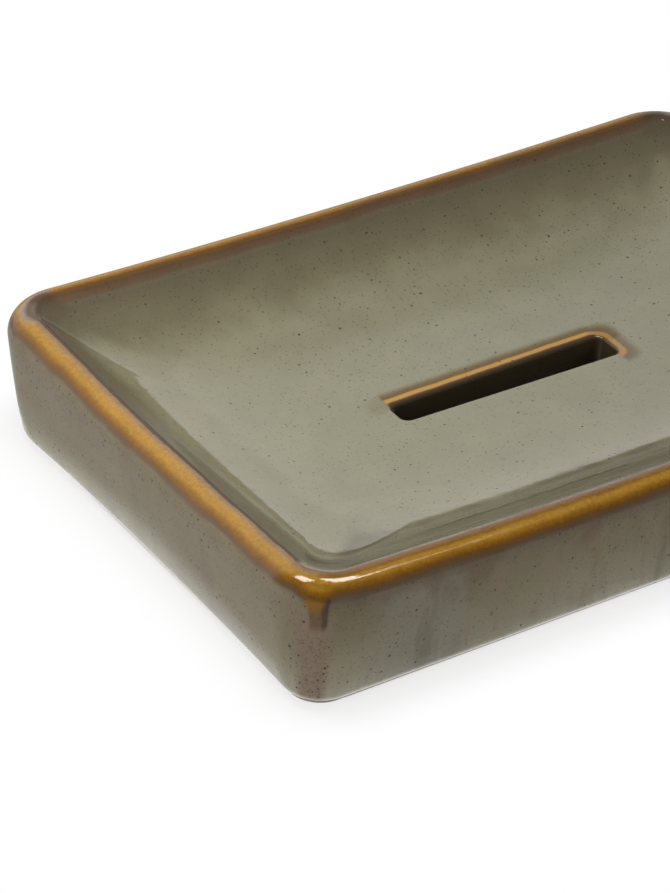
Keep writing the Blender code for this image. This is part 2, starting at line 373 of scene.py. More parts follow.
class SweepTree(ToolTree):
    """The tree that sweeps a section round a plan."""

    SOURCE = "Section"
    SIZES = ("Rim Sag", "Long Rim Bow", "Short Base Bow", "Slot Flare", "Hand Wobble", "Wobble Size")
    KINDS = {
        "Plan": "Object",
        "Closed": "Bool",
        "Seed": "Float",
        **dict.fromkeys(SIZES, "Float"),
        "Shift": "Vector",
        "Finish": "Material",
    }
    SEAM_DISTANCE = MM / 1000.0
    WOBBLE_SEED = 4.0

    def _sampled(self, guide: object, index: object, name: str, kind: str = "FLOAT_VECTOR") -> Socket:
        """Return a guide's attribute at an index.

        Args:
            guide: The guide's geometry socket.
            index: The index of the guide's vertex.
            name: The attribute's name.
            kind: Its data type.

        Returns:
            The socket that holds the value.
        """
        read = self.bench.out("GeometryNodeInputNamedAttribute", {"Name": name}, data_type=kind)
        inputs = {"Geometry": guide, "Value": read, "Index": index}
        return self.bench.out("GeometryNodeSampleIndex", inputs, data_type=kind)

    def _built(self, given: bpy.types.NodeOutputs) -> Socket:
        """Lay out the nodes, from the guides to the swept skin."""
        bench = self.bench
        section = given["Section"]
        plan = bench.add("GeometryNodeObjectInfo", {"Object": given["Plan"]}).outputs["Geometry"]
        ring_count = bench.add("GeometryNodeAttributeDomainSize", {0: section}).outputs["Point Count"]
        step_count = bench.add("GeometryNodeAttributeDomainSize", {0: plan}).outputs["Point Count"]
        rows = bench.plus(ring_count, given["Closed"])
        inputs = {"Vertices X": bench.plus(step_count, 1), "Vertices Y": rows}
        grid = bench.add("GeometryNodeMeshGrid", inputs).outputs["Mesh"]
        index = bench.out("GeometryNodeInputIndex")
        ring_index = bench.math("MODULO", bench.math("MODULO", index, rows), ring_count)
        step_index = bench.math("MODULO", bench.math("FLOOR", bench.math("DIVIDE", index, rows)), step_count)

        size, radius = (self._sampled(section, ring_index, name) for name in ("size", "radius"))
        shares = bench.separate(self._sampled(section, ring_index, "shares"))
        anchor, turn, swell = (self._sampled(plan, step_index, name) for name in ("anchor", "turn", "swell"))
        lean = bench.times(self._sampled(section, ring_index, "lean", "FLOAT"), bench.separate(anchor)["Y"])
        radius = bench.vector("ADD", radius, bench.combine(lean, lean))
        swell_size = bench.combine(
            bench.times(shares["Y"], given["Short Base Bow"], -1.0),
            bench.times(shares["X"], given["Long Rim Bow"]),
            bench.times(shares["X"], given["Rim Sag"], -1.0),
        )
        flat = bench.vector("MULTIPLY", anchor, bench.vector("SUBTRACT", size, radius))
        rounded = bench.vector("ADD", flat, bench.vector("MULTIPLY", turn, radius))
        place = bench.vector("ADD", rounded, bench.vector("MULTIPLY", swell, swell_size))
        flared = self._flared(place, size, bench.times(shares["Z"], given["Slot Flare"]))
        shifted = bench.vector("ADD", flared, given["Shift"])
        skin = bench.out("GeometryNodeSetPosition", {"Geometry": grid, "Position": shifted})
        for mark in SkinMark:
            guide, index = (plan, step_index) if mark is SkinMark.CORNER_REACH else (section, ring_index)
            skin = self._stored(skin, mark, self._sampled(guide, index, mark.value, "FLOAT"))
        inputs = {"Geometry": skin, "Distance": self.SEAM_DISTANCE}
        skin = bench.out("GeometryNodeMergeByDistance", inputs)
        skin = self._wobbled(skin, given)
        return bench.out("GeometryNodeSetShadeSmooth", {"Geometry": skin})

    def _flared(self, place: object, size: object, flare: object) -> Socket:
        """Return a ring's places, widened towards its right end and narrowed towards its left one."""
        bench = self.bench
        half = bench.separate(size)
        at = bench.separate(place)
        slope = bench.math("DIVIDE", flare, bench.times(half["X"], half["Y"]))
        grow = bench.plus(bench.times(slope, at["X"]), 1.0)
        return bench.combine(at["X"], bench.times(at["Y"], grow), at["Z"])

    def _wobbled(self, skin: object, given: bpy.types.NodeOutputs) -> Socket:
        """Return the skin with the slow unevenness of a pressed and fired wall, always inwards."""
        bench = self.bench
        place = bench.out("GeometryNodeInputPosition")
        normal = bench.out("GeometryNodeInputNormal")
        scale = bench.math("DIVIDE", 1.0, given["Wobble Size"])
        inputs = {"Vector": place, "W": given["Seed"], "Scale": scale, "Detail": 1.0}
        noise = bench.out("ShaderNodeTexNoise", inputs, noise_dimensions="4D")
        depth = bench.times(noise, given["Hand Wobble"], -1.0)
        offset = bench.vector("MULTIPLY", normal, bench.combine(depth, depth, depth))
        return bench.out("GeometryNodeSetPosition", {"Geometry": skin, "Offset": offset})

    def sweep(
        self,
        name: str,
        section: bpy.types.Object,
        plan: bpy.types.Object,
        finish: bpy.types.Material,
        closed: bool = True,
        shift: Vector = Vector(),
        **sizes: float,
    ) -> bpy.types.Object:
        """Sweep a skin, and remove its guides.

        Args:
            name: The new object's name.
            section: The guide with one vertex for each ring.
            plan: The guide with one vertex for each step round a ring.
            finish: The skin's material.
            closed: Whether the last ring joins the first.
            shift: Where the skin's middle goes.
            sizes: A value for each named size, with underscores for spaces.

        Returns:
            The new object, at the origin, unturned and unscaled.
        """
        values = {label: sizes.get(label.lower().replace(" ", "_"), 0.0) for label in self.SIZES}
        values["Wobble Size"] = values["Wobble Size"] or MM
        values.update(Plan=plan, Closed=closed, Seed=self.WOBBLE_SEED, Shift=tuple(shift), Finish=finish)
        skin = self.run(section, name, values)
        for guide in (section, plan):
            bpy.data.objects.remove(guide)
        return skin


class SocketTree(ToolTree):
    """The tree that cuts four round sockets into a foot."""

    SOURCE = "Skin"
    SIZES = ("Radius", "Base", "Depth", "Overrun")
    KINDS = {**dict.fromkeys(SIZES, "Float"), "Place": "Vector", "Finish": "Material"}
    SIDES = 96
    SHARP_ANGLE = math.radians(35.0)
    BARE_RADII = 1.01
    BARE_DEPTHS = 1.1

    def _built(self, given: bpy.types.NodeOutputs) -> Socket:
        """Lay out the nodes, from the four cutters to the cut skin."""
        bench = self.bench
        spread = bench.separate(bench.vector("MULTIPLY", given["Place"], (2.0, 2.0, 2.0)))
        inputs = {"Size X": spread["X"], "Size Y": spread["Y"], "Vertices X": 2, "Vertices Y": 2}
        corners = bench.add("GeometryNodeMeshGrid", inputs).outputs["Mesh"]
        tall = bench.plus(given["Depth"], given["Overrun"])
        middle = bench.math("DIVIDE", bench.minus(given["Depth"], given["Overrun"]), 2.0)
        inputs = {"Vertices": self.SIDES, "Radius": given["Radius"], "Depth": tall}
        plug = bench.add("GeometryNodeMeshCylinder", inputs).outputs["Mesh"]
        plug = bench.out("GeometryNodeSetShadeSmooth", {"Geometry": plug})
        plugs = bench.out("GeometryNodeInstanceOnPoints", {"Points": corners, "Instance": plug})
        plugs = bench.out("GeometryNodeRealizeInstances", {0: plugs})
        lift = bench.combine(0.0, 0.0, bench.plus(given["Base"], middle))
        plugs = bench.out("GeometryNodeSetPosition", {"Geometry": plugs, "Offset": lift})
        inputs = {"Mesh 1": given["Skin"], "Mesh 2": plugs}
        skin = bench.add("GeometryNodeMeshBoolean", inputs, operation="DIFFERENCE", solver="EXACT").outputs["Mesh"]
        skin = self._bared(skin, given)
        angle = bench.add("GeometryNodeInputMeshEdgeAngle").outputs["Unsigned Angle"]
        sharp = bench.math("GREATER_THAN", angle, self.SHARP_ANGLE)
        inputs = {"Geometry": skin, "Selection": sharp, "Shade Smooth": False}
        return bench.out("GeometryNodeSetShadeSmooth", inputs, domain="EDGE")

    def _bared(self, skin: object, given: bpy.types.NodeOutputs) -> Socket:
        """Return the skin with bare clay marked in and round the sockets."""
        bench = self.bench
        place = bench.out("GeometryNodeInputPosition")
        away = bench.separate(bench.vector("SUBTRACT", bench.vector("ABSOLUTE", place), given["Place"]))
        reach = bench.measure("LENGTH", bench.combine(away["X"], away["Y"]))
        near = bench.math("LESS_THAN", reach, bench.times(given["Radius"], self.BARE_RADII))
        top = bench.plus(given["Base"], bench.times(given["Depth"], self.BARE_DEPTHS))
        low = bench.math("LESS_THAN", bench.separate(place)["Z"], top)
        return self._stored(skin, SkinMark.BARE, 1.0, bench.times(near, low))

    def cut(
        self, skin: bpy.types.Object, place: Vector, finish: bpy.types.Material, **sizes: float
    ) -> bpy.types.Object:
        """Cut the sockets, and remove the uncut skin.

        Args:
            skin: The skin, which the result takes the place and the name of.
            place: The socket's middle in the corner where X and Y are positive.
            finish: The skin's material.
            sizes: A value for each named size, in lower case.

        Returns:
            The new object, at the origin, unturned and unscaled.
        """
        values = {label: sizes[label.lower()] for label in self.SIZES}
        values.update(Place=(place.x, place.y, 0.0), Finish=finish)
        name = skin.name
        skin.name = f"{name}_uncut"
        cut_skin = self.run(skin, name, values)
        bpy.data.objects.remove(skin)
        return cut_skin


def placed(name: str, data: bpy.types.ID) -> bpy.types.Object:
    """Return a new object in the scene that shows a mesh, a lamp or a camera, which takes its name."""
    data.name = name
    placed_object = bpy.data.objects.new(name, data)
    bpy.context.scene.collection.objects.link(placed_object)
    return placed_object


def write_guide(
    name: str, vectors: dict[str, Sequence[Vector]], floats: dict[str, Sequence[float]]
) -> bpy.types.Object:
    """Make a guide: loose vertices that carry values for the sweep tree.

    Args:
        name: The guide's name.
        vectors: Vector attributes, one vector a vertex.
        floats: Float attributes, one number a vertex.

    Returns:
        The guide object.
    """
    mesh = bpy.data.meshes.new(name)
    mesh.vertices.add(len(next(iter(vectors.values()))))
    for label, values in vectors.items():
        layer = mesh.attributes.new(label, "FLOAT_VECTOR", "POINT")
        layer.data.foreach_set("vector", [part for value in values for part in value])
    for label, values in floats.items():
        layer = mesh.attributes.new(label, "FLOAT", "POINT")
        layer.data.foreach_set("value", values)
    return placed(name, mesh)


@dataclass
class PlanGuide:
    """Steps round a rounded rectangle, whose size each ring sets.

    Attributes:
        corner_steps: Steps in each quarter turn.
        long_steps: Steps along each long side.
        short_steps: Steps along each short side.
        corner_radius: The radius that marks distances round a corner.
        half_long: Half of the straight part of a long side.
        half_short: Half of the straight part of a short side.
    """

    corner_steps: int
    long_steps: int
    short_steps: int
    corner_radius: float
    half_long: float
    half_short: float

    def build(self) -> bpy.types.Object:
        """Return the guide, anticlockwise from the right end."""
        steps: list[tuple[Vector, Vector, Vector, float]] = []
        quarter_length = self.corner_radius * math.pi / 2.0
        for quarter, (side_x, side_y) in enumerate(((1, 1), (-1, 1), (-1, -1), (1, -1))):
            for share in even_shares(self.corner_steps):
                angle = (quarter + share) * math.pi / 2.0
                turn = Vector((math.cos(angle), math.sin(angle), 0.0))
                steps.append((Vector((side_x, side_y, 1.0)), turn, Vector(), abs(share - 0.5) * quarter_length))
            runs_long = quarter % 2 == 0
            half_side = self.half_long if runs_long else self.half_short
            for share in even_shares(self.long_steps if runs_long else self.short_steps)[1:-1]:
                along = 1.0 - 2.0 * share
                belly = 1.0 - along**2
                if runs_long:
                    anchor = Vector((side_x * along, side_y, 1.0))
                    turn = Vector((0.0, side_y, 0.0))
                else:
                    anchor = Vector((side_x, side_y * along, 1.0))
                    turn = Vector((side_x, 0.0, 0.0))
                swell = belly * (turn + Vector((0.0, 0.0, 1.0)))
                steps.append((anchor, turn, swell, quarter_length / 2.0 + half_side * (1.0 - abs(along))))
        anchors, turns, swells, reaches = zip(*steps)
        vectors = {"anchor": anchors, "turn": turns, "swell": swells}
        return write_guide("plan_guide", vectors, {SkinMark.CORNER_REACH.value: reaches})


def section_guide(name: str, rings: Sequence[Ring], crown_index: int, slot_index: int) -> bpy.types.Object:
    """Make the guide that holds a section's rings.

    Args:
        name: The guide's name.
        rings: The rings in order.
        crown_index: The ring that distances from the rim are counted from.
        slot_index: The ring that distances from the slot's edge are counted from.

    Returns:
        The guide object.
    """
    walked = [0.0]
    for ring, after in zip(rings, rings[1:]):
        walked.append(walked[-1] + math.hypot(after.half_x - ring.half_x, after.height - ring.height))
    vectors = {
        "size": [Vector((ring.half_x, ring.half_y, ring.height)) for ring in rings],
        "radius": [Vector((ring.radius, ring.radius, 0.0)) for ring in rings],
        "shares": [Vector((ring.climb_share, ring.base_share, ring.flare_share)) for ring in rings],
    }
    floats = {
        SkinMark.RIM_REACH.value: [length - walked[crown_index] for length in walked],
        SkinMark.SLOT_REACH.value: [length - walked[slot_index] for length in walked],
        SkinMark.BARE.value: [ring.bare for ring in rings],
        "lean": [ring.lean for ring in rings],
    }
    return write_guide(name, vectors, floats)


@dataclass(frozen=True)
class Parts:
    """How far a place belongs to each part of the outline, from 0 to 1, and where it lies at a corner.

    Attributes:
        front: The front long side.
        back: The back long side.
        ends: Both ends.
        near: The near corners' turn.
        far: The far corners' turn.
        beside: How much nearer it is to the long side than to the end, in millimetres.
    """

    front: Socket
    back: Socket
    ends: Socket
    near: Socket
    far: Socket
    beside: Socket


@dataclass(frozen=True)
class Layer:
    """A tint over the glaze along one part of the outline.

    Attributes:
        part: How far a place belongs to the part.
        rise: Where along the section it starts and where it is full.
        fall: Where it is gone and where it is still full, or None where it goes on.
        share: How much it covers.
        shade: Its colour.
    """

    part: Socket
    rise: Span
    fall: Span | None
    share: float
    shade: Colour


@dataclass(frozen=True)
class Flecks:
    """One size of iron flecks.

    Attributes:
        cell: The size of the cells that hold one fleck each, in millimetres.
        widest: The largest fleck's radius, as a share of the cell.
        rarity: The power that keeps most flecks small.
        share: How much the strongest of them covers.
    """

    cell: float
    widest: float
    rarity: float
    share: float


@dataclass(frozen=True)
class StonewareGlaze:
    """Sage reactive glaze over iron-flecked stoneware, bare at the foot.

    The glaze's colour goes by its thickness: thin over the rim, where it breaks
    amber, and thick where it pools on the basin's floor. Down the walls it is
    lighter towards the foot. Some of the tints are painted light and shade:
    painted reflections, painted shade and painted light.
    Colours are written as they look. The numbers in the sequence and the layers
    are millimetres from the rim's crown along the section, or from the slot's
    edge, below zero down the outside. The other plain lengths are millimetres
    too. Where the tints lie, and the dull places, are fitted to the photo.
    """

    pool: Colour = linear(140, 136, 111)
    thick: Colour = linear(126, 120, 94)
    olive: Colour = linear(111, 104, 80)
    thin: Colour = linear(98, 90, 69)
    lilac: Colour = linear(105, 93, 76)
    umber: Colour = linear(98, 76, 53)
    rust: Colour = linear(112, 74, 26)
    amber: Colour = linear(140, 95, 6)
    honey: Colour = linear(170, 124, 36)
    # painted light: pale at the foot, where the base mirrors the white floor, and a faint painted sheen on the
    # ends' crown
    painted_pale_light: Colour = linear(184, 180, 163)
    # the walls are lighter towards the foot
    lower_wall: Colour = linear(147, 141, 118)
    wall_olive: Colour = linear(125, 116, 89)
    wall_thin: Colour = linear(112, 102, 75)
    # painted light: the ends' walls are lighter, as if lit from the side
    end_wall_light: Colour = linear(133, 122, 98)
    # painted shade: darkens the front's inner slope below the rim
    shadow_olive: Colour = linear(99, 93, 70)
    # painted light: the basin is lighter towards the ends, as if lit from the side
    end_basin_light: Colour = linear(136, 131, 104)
    # painted reflection: the pale strip inside the front rim and on the far corners' crowns
    painted_reflection: Colour = linear(140, 128, 112)
    # painted shade: the darkest band just under the front rim
    crease_shade: Colour = linear(76, 70, 51)
    # painted reflection: a pale patch on the front wall
    reflection_patch: Colour = linear(128, 125, 112)
    slot_shade: Colour = linear(62, 53, 38)
    slot_halo: Colour = linear(106, 84, 44)
    slot_gold: Colour = linear(198, 154, 82)
    blush: Colour = linear(131, 111, 94)
    # a dark stain for the corner runs, also used as painted shade for the dark line inside the ends
    stain_and_shade: Colour = linear(66, 48, 33)
    drip: Colour = linear(98, 73, 38)
    scorch: Colour = linear(90, 62, 36)
    fleck: Colour = linear(50, 40, 30)
    clay: Colour = linear(176, 160, 134)
    half_length: float = 65.0
    half_width: float = 45.0
    # where the painted reflection patch lies along X
    reflection_patch_span: Span = (-56.0, -38.5)
    clouds: Blotches = Blotches(7.0, 4.0, 0.6, (0.25, 0.75), (0.94, 1.05))
    mottle: Blotches = Blotches(0.6, 3.0, 0.65, (0.3, 0.7), (0.85, 1.12))
    streaks: Blotches = Blotches(3.5, 3.0, 0.6, (0.46, 0.66), (0.0, 0.4))
    green_streaks: Blotches = Blotches(6.0, 3.0, 0.6, (0.52, 0.7), (0.0, 0.5))
    wall_stains: Blotches = Blotches(8.0, 4.0, 0.65, (0.5, 0.68), (0.0, 0.55))
    fleck_patches: Blotches = Blotches(11.0, 3.0, 0.6, (0.46, 0.64), (0.0, 0.75))
    sheen: Blotches = Blotches(6.0, 2.0, 0.5, (0.3, 0.7), (0.05, 0.09))
    long_side_from: Span = (-1.5, 2.5)
    front_from: Span = (0.0, -9.0)
    back_from: Span = (0.0, 9.0)
    near_turn: Span = (8.0, 5.0)
    far_turn: Span = (9.0, 4.5)
    far_from: Span = (25.0, 35.0)
    flecks: tuple[Flecks, ...] = (Flecks(0.95, 0.27, 4.0, 0.85), Flecks(0.42, 0.42, 1.8, 0.40))
    glossy: float = 0.5
    dull: float = 0.12
    clay_dryness: float = 0.75
    refraction: float = 1.5
    peel_height: float = 0.012 * MM
    pit_height: Span = (0.012 * MM, 0.04 * MM)
    grit_height: float = 0.12 * MM

    @property
    def sequence(self) -> tuple[tuple[float, Colour], ...]:
        """The glaze's colours in order along the section."""
        return (
            # painted light at the foot
            (-24.0, self.painted_pale_light),
            (-19.0, self.lower_wall),
            (-12.0, self.wall_olive),
            (-6.5, self.wall_thin),
            (-4.5, self.lilac),
            (-3.8, self.umber),
            (-3.2, self.rust),
            (-2.4, self.amber),
            (-1.7, self.honey),
            (-0.8, self.honey),
            (-0.1, self.amber),
            (0.45, self.rust),
            (1.0, self.umber),
            (1.9, self.lilac),
            (3.5, self.thin),
            (8.0, self.olive),
            (12.5, self.thick),
            (18.0, self.pool),
        )

    def build(self) -> bpy.types.Material:
        """Return the material."""
        material = bpy.data.materials.new("sage_stoneware_glaze")
        material.use_nodes = True
        bench = SkinBench(material.node_tree)
        shader = material.node_tree.nodes["Principled BSDF"]
        parts = self._parts(bench)
        crest = bench.times(bench.band(bench.reach, (-3.5, -2.5), (1.8, 1.0)), parts.back)
        colour = self._ground(bench, parts, self._swayed_reach(bench, crest))
        colour = self._slot_edge(bench, colour)
        colour = self._flecked(bench, colour)
        bare = self._bare(bench)
        bench.feed(shader.inputs["Base Color"], bench.tint(bare, colour, self.clay))
        bench.feed(shader.inputs["Roughness"], self._roughness(bench, bare))
        bench.feed(shader.inputs["Normal"], self._bump(bench, bare))
        bench.feed(shader.inputs["Specular IOR Level"], self._gloss(bench, parts, crest))
        shader.inputs["IOR"].default_value = self.refraction
        return material

    def _parts(self, bench: SkinBench) -> Parts:
        """Return which part of the outline a place belongs to."""
        from_end = bench.minus(self.half_length, bench.math("ABSOLUTE", bench.x))
        from_side = bench.minus(self.half_width, bench.math("ABSOLUTE", bench.y))
        beside = bench.minus(from_end, from_side)
        long_side = bench.step(beside, *self.long_side_from)
        before = bench.step(bench.y, *self.front_from)
        return Parts(
            front=bench.times(long_side, before),
            back=bench.times(long_side, bench.step(bench.y, *self.back_from)),
            ends=bench.minus(1.0, long_side),
            near=bench.times(bench.step(bench.corner, *self.near_turn), before),
            far=bench.times(bench.step(bench.corner, *self.far_turn), bench.step(bench.y, *self.far_from)),
            beside=beside,
        )

    def _gloss(self, bench: SkinBench, parts: Parts, crest: Socket) -> Socket:
        """Return the specular level, which is low in three places to match the photo.

        They are the back rim's crest, the painted-shade dark line inside the ends,
        and the slot's back edge.

        Args:
            bench: The material's bench.
            parts: Which part of the outline a place belongs to.
            crest: 1 on the back rim's crest, else 0.

        Returns:
            The socket that holds the level.
        """
        line = bench.times(bench.band(bench.reach, (0.35, 0.6), (1.5, 1.1)), parts.ends)
        edge = bench.times(bench.band(bench.slot, (-4.4, -2.5), (-0.2, -0.5)), bench.step(bench.y, 0.0, 1.6))
        return bench.step(bench.most(crest, line, edge), 0.0, 1.0, (self.glossy, self.dull))

    def _swayed_reach(self, bench: SkinBench, crest: Socket) -> Socket:
        """Return the distance from the crown, uneven where the glaze ran.

        At the corners the glaze ran down and outwards, so the amber stops short on
        the crown's inner side and hangs lower on its outer one.

        Args:
            bench: The material's bench.
            crest: 1 on the back rim's crest, where the glaze ran off thin, else 0.

        Returns:
            The socket that holds the distance.
        """
        gather = bench.times(bench.step(bench.corner, 9.0, 3.0), bench.step(bench.y, *self.far_from, (0.4, 1.3)))
        reach = bench.plus(bench.reach, bench.times(gather, bench.band(bench.reach, (-2.4, -0.6), (4.0, 1.5))))
        hang = bench.times(bench.step(bench.corner, 4.0, 0.5), bench.band(reach, (-2.0, -3.0), (-8.0, -5.0)))
        reach = bench.plus(reach, hang, bench.times(crest, 0.15))
        slow = bench.sway(bench.place, 9.0 * MM)
        quick = bench.sway(bench.place, 1.3 * MM, 3.0, 0.6)
        run = bench.times(bench.sway(bench.place, 14.0 * MM, 3.0), 9.0)
        deep = bench.step(bench.math("ABSOLUTE", reach), 4.0, 12.0)
        return bench.plus(reach, slow, bench.times(quick, 0.45), bench.times(run, deep))

    def _laid(self, bench: SkinBench, reach: Socket, colour: Socket, layers: Iterable[Layer]) -> Socket:
        """Return a colour with layers over it, in order, by a distance along the section."""
        for layer in layers:
            cover = bench.step(reach, *layer.rise)
            if layer.fall:
                cover = bench.times(cover, bench.step(reach, *layer.fall))
            colour = bench.tint(bench.times(layer.part, cover, layer.share), colour, layer.shade)
        return colour

    def _ground(self, bench: SkinBench, parts: Parts, reach: Socket) -> Socket:
        """Return the glaze's colour by its thickness, with the sides' differences, painted light and shade among
        them, and with stains and runs.
        """
        low, high = self.sequence[0][0], self.sequence[-1][0]
        share = bench.out("ShaderNodeMapRange", {"Value": reach, "From Min": low, "From Max": high})
        ramp = bench.add("ShaderNodeValToRGB", {"Fac": share})
        stops = ramp.color_ramp.elements
        for spare in list(stops)[1:]:
            stops.remove(spare)
        for index, (at, colour) in enumerate(self.sequence):
            position = (at - low) / (high - low)
            stop = stops[0] if index == 0 else stops.new(position)
            stop.position = position
            stop.color = (*colour, 1.0)
        colour = self._laid(bench, reach, ramp.outputs["Color"], self._side_layers(bench, parts))
        cloud = bench.blotched(bench.place, self.clouds)
        mottle = bench.blotched(bench.place, self.mottle)
        crown = bench.band(reach, (-3.6, -2.8), (0.8, 0.2))
        depth = bench.times(cloud, bench.plus(1.0, bench.times(crown, bench.minus(mottle, 1.0))))
        colour = bench.tint(1.0, colour, bench.combine(depth, depth, depth), "MULTIPLY")
        colour = self._stained_walls(bench, parts, reach, colour)
        return self._dripped(bench, parts, reach, colour)

    def _side_layers(self, bench: SkinBench, parts: Parts) -> tuple[Layer, ...]:
        """Return the differences between the dish's sides.

        The long rims fired rustier. Inside the front there is a pale strip of painted
        reflection, then painted shade down the slope, darkest in the crease under the
        rim. The ends' walls and basin are painted lighter as if lit from the side, with
        a faint painted sheen on their crown. A dark line of painted shade runs inside
        the ends, but not round the corners. The far corners' crowns carry a pale
        painted reflection.
        """
        inside = bench.most(parts.front, parts.near)
        ends, far = parts.ends, parts.far
        # painted shade: the dark line inside the ends
        line = bench.times(ends, bench.minus(1.0, parts.near), bench.minus(1.0, bench.times(far, 0.85)))
        return (
            Layer(parts.front, (-1.2, -0.5), (0.9, 0.5), 0.6, self.rust),
            Layer(parts.back, (0.9, 1.3), (3.0, 2.0), 0.6, self.scorch),
            # painted reflection: the pale strip inside the front rim
            Layer(inside, (0.5, 1.1), (2.7, 2.1), 1.0, self.painted_reflection),
            # painted shade down the front's inner slope
            Layer(parts.front, (2.6, 3.6), (17.0, 13.0), 0.85, self.shadow_olive),
            # painted shade in the crease under the front rim
            Layer(inside, (2.5, 3.1), (9.0, 4.5), 1.0, self.crease_shade),
            # a faint painted sheen on the ends' crown
            Layer(ends, (-1.0, -0.3), (0.6, 0.3), 0.12, self.painted_pale_light),
            # painted shade line inside the ends
            Layer(line, (0.3, 0.5), (1.4, 1.05), 0.9, self.stain_and_shade),
            # painted reflection on the far corners' crowns
            Layer(far, (-1.7, -0.9), (0.9, -0.1), 0.75, self.painted_reflection),
            Layer(far, (-0.5, 0.5), (4.5, 2.5), 0.4, self.stain_and_shade),
            # painted light on the ends' walls and basin
            Layer(ends, (-19.0, -13.0), (-3.7, -4.6), 0.75, self.end_wall_light),
            Layer(ends, (5.0, 9.0), (18.0, 14.0), 0.9, self.end_basin_light),
        )

    def _stained_walls(self, bench: SkinBench, parts: Parts, reach: Socket, colour: Socket) -> Socket:
        """Return a colour with the walls' upright streaks, a painted reflection as a pale patch on the front wall,
        and stains under the rim.
        """
        on_end = bench.step(parts.ends, 0.0, 1.0, (1.0, 0.25))
        upright = bench.vector("MULTIPLY", bench.place, (1.0, 1.0, 0.25))
        aside = bench.vector("ADD", upright, (0.05, 0.0, 0.0))
        leaning = bench.vector("MULTIPLY", bench.place, (1.0, 1.0, 0.6))
        streaks = bench.times(bench.blotched(upright, self.streaks), on_end)
        greens = bench.times(bench.blotched(aside, self.green_streaks), on_end)
        stains = bench.times(bench.blotched(leaning, self.wall_stains), on_end)
        left, right = self.reflection_patch_span
        # painted reflection patch on the front wall
        patch = bench.times(bench.band(bench.x, (left, left + 7.0), (right + 1.0, right)), parts.front)
        layers = (
            Layer(streaks, (-4.5, -8.0), None, 1.0, self.blush),
            Layer(patch, (-4.6, -6.5), None, 0.45, self.reflection_patch),
            Layer(greens, (-4.5, -8.0), None, 1.0, self.thin),
            Layer(stains, (-13.0, -6.0), (-3.8, -4.8), 1.0, self.umber),
        )
        return self._laid(bench, reach, colour, layers)

    def _dripped(self, bench: SkinBench, parts: Parts, reach: Socket, colour: Socket) -> Socket:
        """Return a colour with the glaze that ran down each corner.

        A brown and a dark run lie over a pinkish ridge, and an amber wedge over them.

        Args:
            bench: The material's bench.
            parts: Which part of the outline a place belongs to.
            reach: The uneven distance from the crown.
            colour: The colour under it.

        Returns:
            The socket that holds the colour.
        """
        ridge = Layer(bench.step(bench.corner, 4.0, 1.5), (-5.0, -8.0), None, 0.8, self.blush)
        colour = self._laid(bench, reach, colour, (ridge,))
        beside = bench.plus(parts.beside, bench.times(bench.sway(bench.place, 2.4 * MM, 3.0), 1.2))
        fall = bench.minus(-3.0, reach)
        length = bench.times(bench.band(fall, (0.0, 1.0), (7.6, 5.4)), bench.step(bench.corner, 7.0, 6.0))
        for middle, half, share, shade in ((0.8, 2.3, 0.8, self.drip), (2.2, 1.1, 0.85, self.stain_and_shade)):
            off = bench.plus(bench.math("ABSOLUTE", bench.minus(beside, middle)), bench.times(fall, 0.07))
            run = bench.times(bench.step(off, half + 0.2, half - 0.6), length, share)
            colour = bench.tint(run, colour, shade)
        off = bench.plus(bench.math("ABSOLUTE", beside), bench.times(fall, 0.5))
        wedge = bench.times(bench.step(off, 3.4, 1.6), bench.step(fall, 4.8, 1.4), length, 0.8)
        return bench.tint(wedge, colour, self.amber)

    def _flecked(self, bench: SkinBench, colour: Socket) -> Socket:
        """Return a colour with iron flecks, from fine grain to single specks, over it."""
        reach = bench.reach
        off_crown = bench.minus(1.0, bench.times(bench.band(reach, (-4.2, -3.4), (1.2, 0.6)), 0.7))
        wall = bench.times(bench.step(reach, -3.5, -5.0), bench.step(reach, -22.0, -6.0, (0.35, 1.0)))
        ridge = bench.times(bench.step(bench.corner, 4.5, 2.5), bench.step(reach, -8.0, -11.0), 1.85)
        patch = bench.blotched(bench.place, self.fleck_patches)
        dense = bench.most(wall, ridge, bench.times(patch, bench.step(reach, 5.0, 12.0)))
        for flecks in self.flecks:
            cells = bench.add("ShaderNodeTexVoronoi", {"Vector": bench.place, "Scale": 1.0 / (flecks.cell * MM)})
            chance = bench.separate(cells.outputs["Color"])
            rarity = bench.minus(flecks.rarity, bench.times(dense, 0.5 * flecks.rarity))
            size = bench.times(bench.math("POWER", chance["X"], rarity), flecks.widest)
            fleck = bench.step(bench.minus(cells.outputs["Distance"], size), 0.03, -0.05)
            share = bench.step(chance["Y"], 0.0, 1.0, (0.35 * flecks.share, flecks.share))
            strength = bench.times(fleck, share, off_crown)
            colour = bench.tint(strength, colour, self.fleck)
        return colour

    def _slot_edge(self, bench: SkinBench, colour: Socket) -> Socket:
        """Return a colour with the slot's back and right edges broken to gold and its inside dark."""
        slot = bench.plus(bench.slot, bench.times(bench.sway(bench.place, 3.0 * MM), 0.3))
        slot = bench.minus(slot, bench.step(bench.x, 18.0, 20.0, (0.0, 0.6)))
        broken = bench.most(bench.step(bench.y, 0.0, 1.6), bench.step(bench.x, 18.6, 19.6))
        broken = bench.times(broken, bench.step(bench.x, -20.0, -19.3))
        gilt = bench.times(broken, bench.step(bench.x, 17.5, 19.5, (0.85, 0.55)))
        layers = (
            Layer(broken, (-4.4, -2.5), None, 0.85, self.slot_halo),
            Layer(broken, (-2.5, -2.05), None, 0.6, self.rust),
            Layer(gilt, (-2.25, -1.7), (-0.7, -1.25), 1.0, self.slot_gold),
            Layer(broken, (-1.15, -0.65), None, 1.0, self.scorch),
        )
        return bench.tint(bench.step(slot, -0.65, -0.1), self._laid(bench, slot, colour, layers), self.slot_shade)

